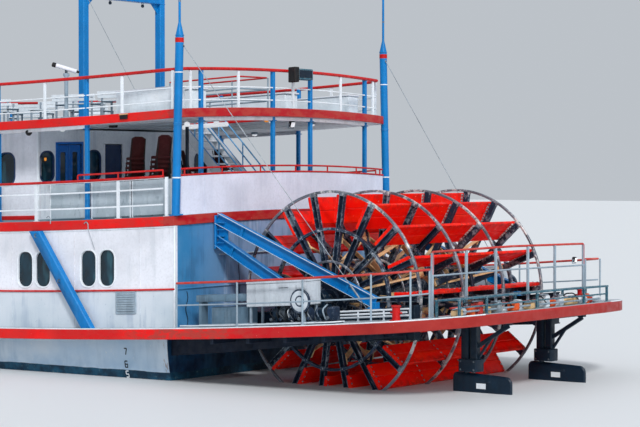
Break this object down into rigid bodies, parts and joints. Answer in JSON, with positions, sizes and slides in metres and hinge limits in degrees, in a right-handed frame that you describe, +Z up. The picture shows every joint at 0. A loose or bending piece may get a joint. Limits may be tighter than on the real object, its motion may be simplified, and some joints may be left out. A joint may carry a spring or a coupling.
{
  "type": "sternwheel paddle boat, 1:2 scale model",
  "caption": "Half-size scale model of a white, red and blue sternwheel excursion paddle boat with three decks, a red stern paddle wheel and turning rudders.",
  "frame": {"origin": "amidships on the centre line, at the waterline", "axes": "+X towards the bow, +Y to port, +Z up"},
  "size_m": [22.3, 5.95, 7.2397],
  "materials": {
    "white_paint": "semi-gloss",
    "hull_white": "semi-gloss, weathered",
    "red_paint": "semi-gloss",
    "wheel_red": "weathered paint",
    "blue_paint": "semi-gloss",
    "dark_blue": "weathered paint",
    "deck_grey": "satin deck paint",
    "rail_red": "semi-gloss",
    "steel": "oiled",
    "black_paint": "matt",
    "door_blue": "gloss",
    "teal_paint": "semi-gloss, weathered"
  },
  "bodies": {
    "ship": {"aft_bulwark": "white_paint", "bollard_port": "red_paint", "bollard_stbd": "red_paint", "capstan": "dark_blue", "catwalk_rail": "rail_red", "corner_post_port": "blue_paint", "corner_post_stbd": "blue_paint", "engine_block": "steel", "fender_beam_port": "blue_paint", "fender_beam_stbd": "blue_paint", "helm_console": "dark_blue", "hull": "hull_white", "jackstaff": "blue_paint", "king_post_frame": "blue_paint", "machinery_chest_port": "white_paint", "machinery_chest_stbd": "white_paint", "main_cabin_aft_wall": "white_paint", "main_cabin_front_wall": "white_paint", "main_cabin_port_wall": "white_paint", "main_cabin_stbd_wall": "white_paint", "main_deck": "deck_grey", "pillars_aft": "blue_paint", "pillars_port": "blue_paint", "pillars_stbd": "blue_paint", "pilothouse_roof": "red_paint", "pilothouse_walls": "white_paint", "rudder_hanger_port": "dark_blue", "rudder_hanger_stbd": "dark_blue", "saloon_aft_wall": "white_paint", "saloon_front_wall": "white_paint", "saloon_port_wall": "white_paint", "saloon_stbd_wall": "white_paint", "second_deck": "red_paint", "second_deck_rail_front": "rail_red", "second_deck_rail_port": "rail_red", "second_deck_rail_stbd": "rail_red", "shaft_bearing_port": "steel", "shaft_bearing_stbd": "steel", "smokestack_port": "black_paint", "smokestack_stbd": "black_paint", "stairs": "blue_paint", "steering_platform": "teal_paint", "stern_rail_port": "rail_red", "stern_rail_stbd": "rail_red", "third_deck": "red_paint", "third_deck_rail": "rail_red", "wheel_beam_port": "dark_blue", "wheel_beam_stbd": "dark_blue", "wheel_strut_port": "blue_paint", "wheel_strut_stbd": "blue_paint"},
    "wheel": {"paddle_wheel": "wheel_red", "wheel_shaft": "steel"},
    "rudder_port_body": {"rudder_port": "dark_blue"},
    "rudder_stbd_body": {"rudder_stbd": "dark_blue"},
    "saloon_port_leaf": {"saloon_door_port": "door_blue"},
    "saloon_inner_leaf": {"saloon_door_inner": "door_blue"},
    "saloon_side_leaf": {"saloon_side_door": "door_blue"},
    "front_leaf": {"front_cabin_door": "door_blue"},
    "pilothouse_leaf": {"pilothouse_door": "door_blue"}
  },
  "joints": [
    {"name": "paddle_wheel_spin", "type": "hinge", "parent": "ship", "child": "wheel", "pos_m": [-8.75, 0, 1.144], "axis": [0, 1, 0], "continuous": true},
    {"name": "rudder_port_steer", "type": "hinge", "parent": "ship", "child": "rudder_port_body", "pos_m": [-10.5, 0.93, 0.3], "axis": [0, 0, 1], "range_deg": [-38, 38]},
    {"name": "rudder_stbd_steer", "type": "hinge", "parent": "ship", "child": "rudder_stbd_body", "pos_m": [-10.5, -0.93, 0.3], "axis": [0, 0, 1], "range_deg": [-38, 38]},
    {"name": "saloon_door_port_swing", "type": "hinge", "parent": "ship", "child": "saloon_port_leaf", "pos_m": [-3.84, 1.589, 2.21], "axis": [0, 0, -1], "range_deg": [0, 90]},
    {"name": "saloon_door_inner_swing", "type": "hinge", "parent": "ship", "child": "saloon_inner_leaf", "pos_m": [-3.84, 1.101, 2.21], "axis": [0, 0, 1], "range_deg": [0, 90]},
    {"name": "saloon_side_door_swing", "type": "hinge", "parent": "ship", "child": "saloon_side_leaf", "pos_m": [-3.84, 0.231, 2.21], "axis": [0, 0, 1], "range_deg": [0, 90]},
    {"name": "front_cabin_door_swing", "type": "hinge", "parent": "ship", "child": "front_leaf", "pos_m": [7.24, -0.219, 0.93], "axis": [0, 0, -1], "range_deg": [0, 90]},
    {"name": "pilothouse_door_swing", "type": "hinge", "parent": "ship", "child": "pilothouse_leaf", "pos_m": [3.009, 0.256, 3.67], "axis": [0, 0, 1], "range_deg": [0, 90]}
  ],
  "couplings": [
    {"joint": "rudder_stbd_steer", "follows": "rudder_port_steer", "ratio": 1}
  ]
}
